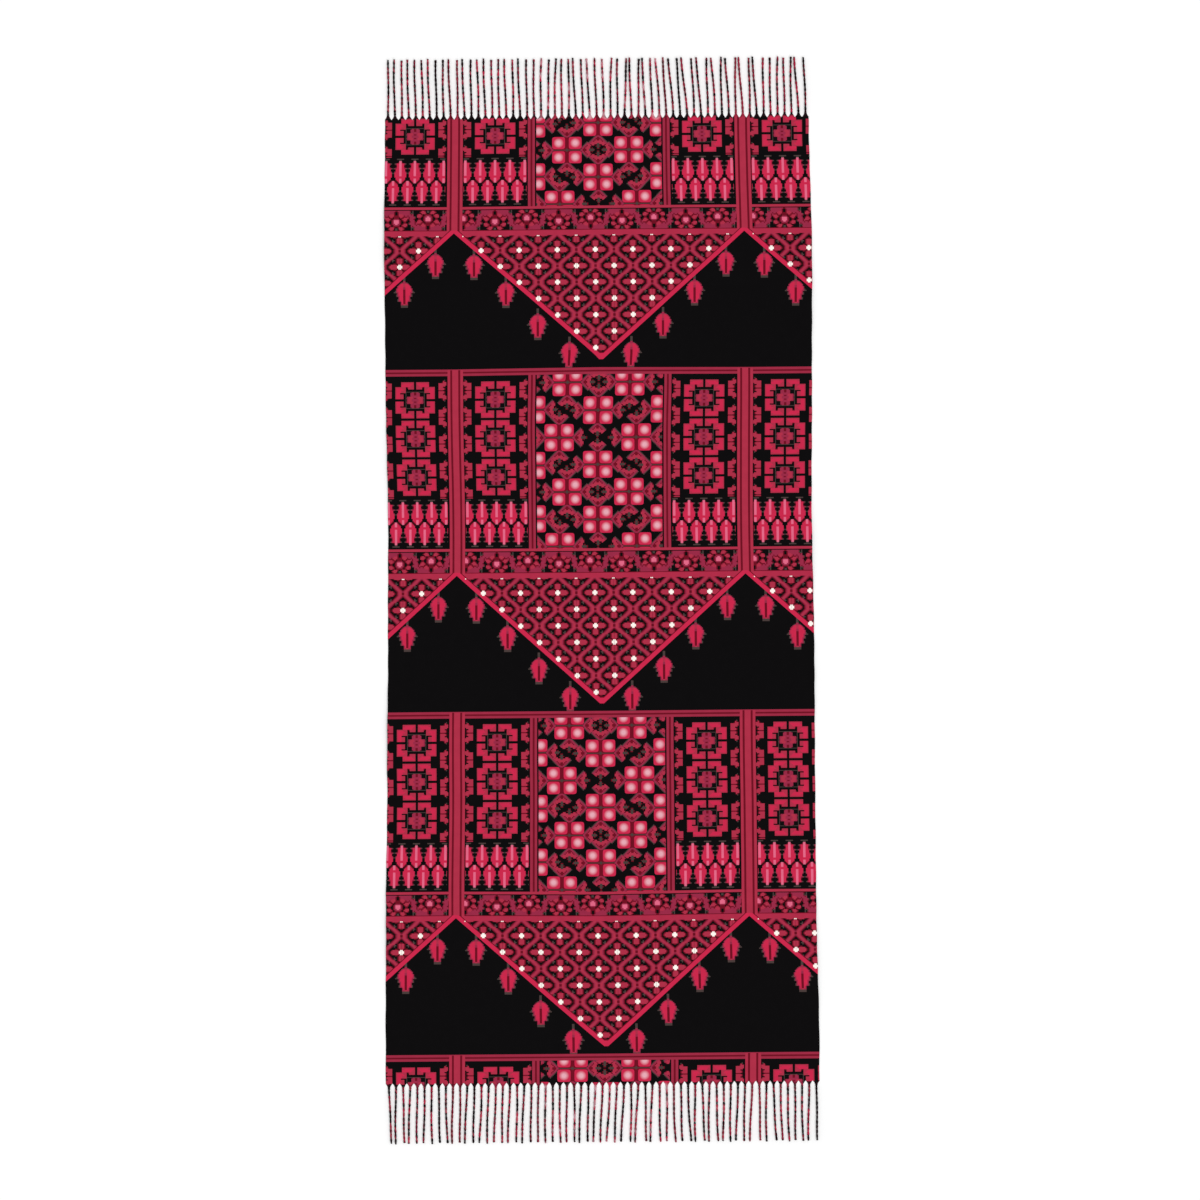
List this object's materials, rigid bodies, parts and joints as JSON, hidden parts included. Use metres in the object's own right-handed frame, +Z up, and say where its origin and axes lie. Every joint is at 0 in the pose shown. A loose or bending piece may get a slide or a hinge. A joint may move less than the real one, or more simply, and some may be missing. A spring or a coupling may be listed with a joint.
{
  "type": "shawl",
  "caption": "Long rectangular woven shawl lying flat, with a traditional geometric print and a twisted fringe along both short ends.",
  "frame": {"origin": "bottom centre of the whole shawl's box, on the surface it lies on", "axes": "+Y along the shawl's length towards its far end, +X across it to the right, +Z up, out of the printed face"},
  "size_m": [0.716, 1.7896, 0.0047],
  "materials": {
    "printed_cloth": "matt fine twill, black ground with crimson and wine print",
    "twisted_yarn": "matt twisted yarn, black and crimson by turns"
  },
  "bodies": {
    "root": {"cloth_panel": "printed_cloth", "fringe_far": "twisted_yarn", "fringe_near": "twisted_yarn"}
  },
  "joints": []
}
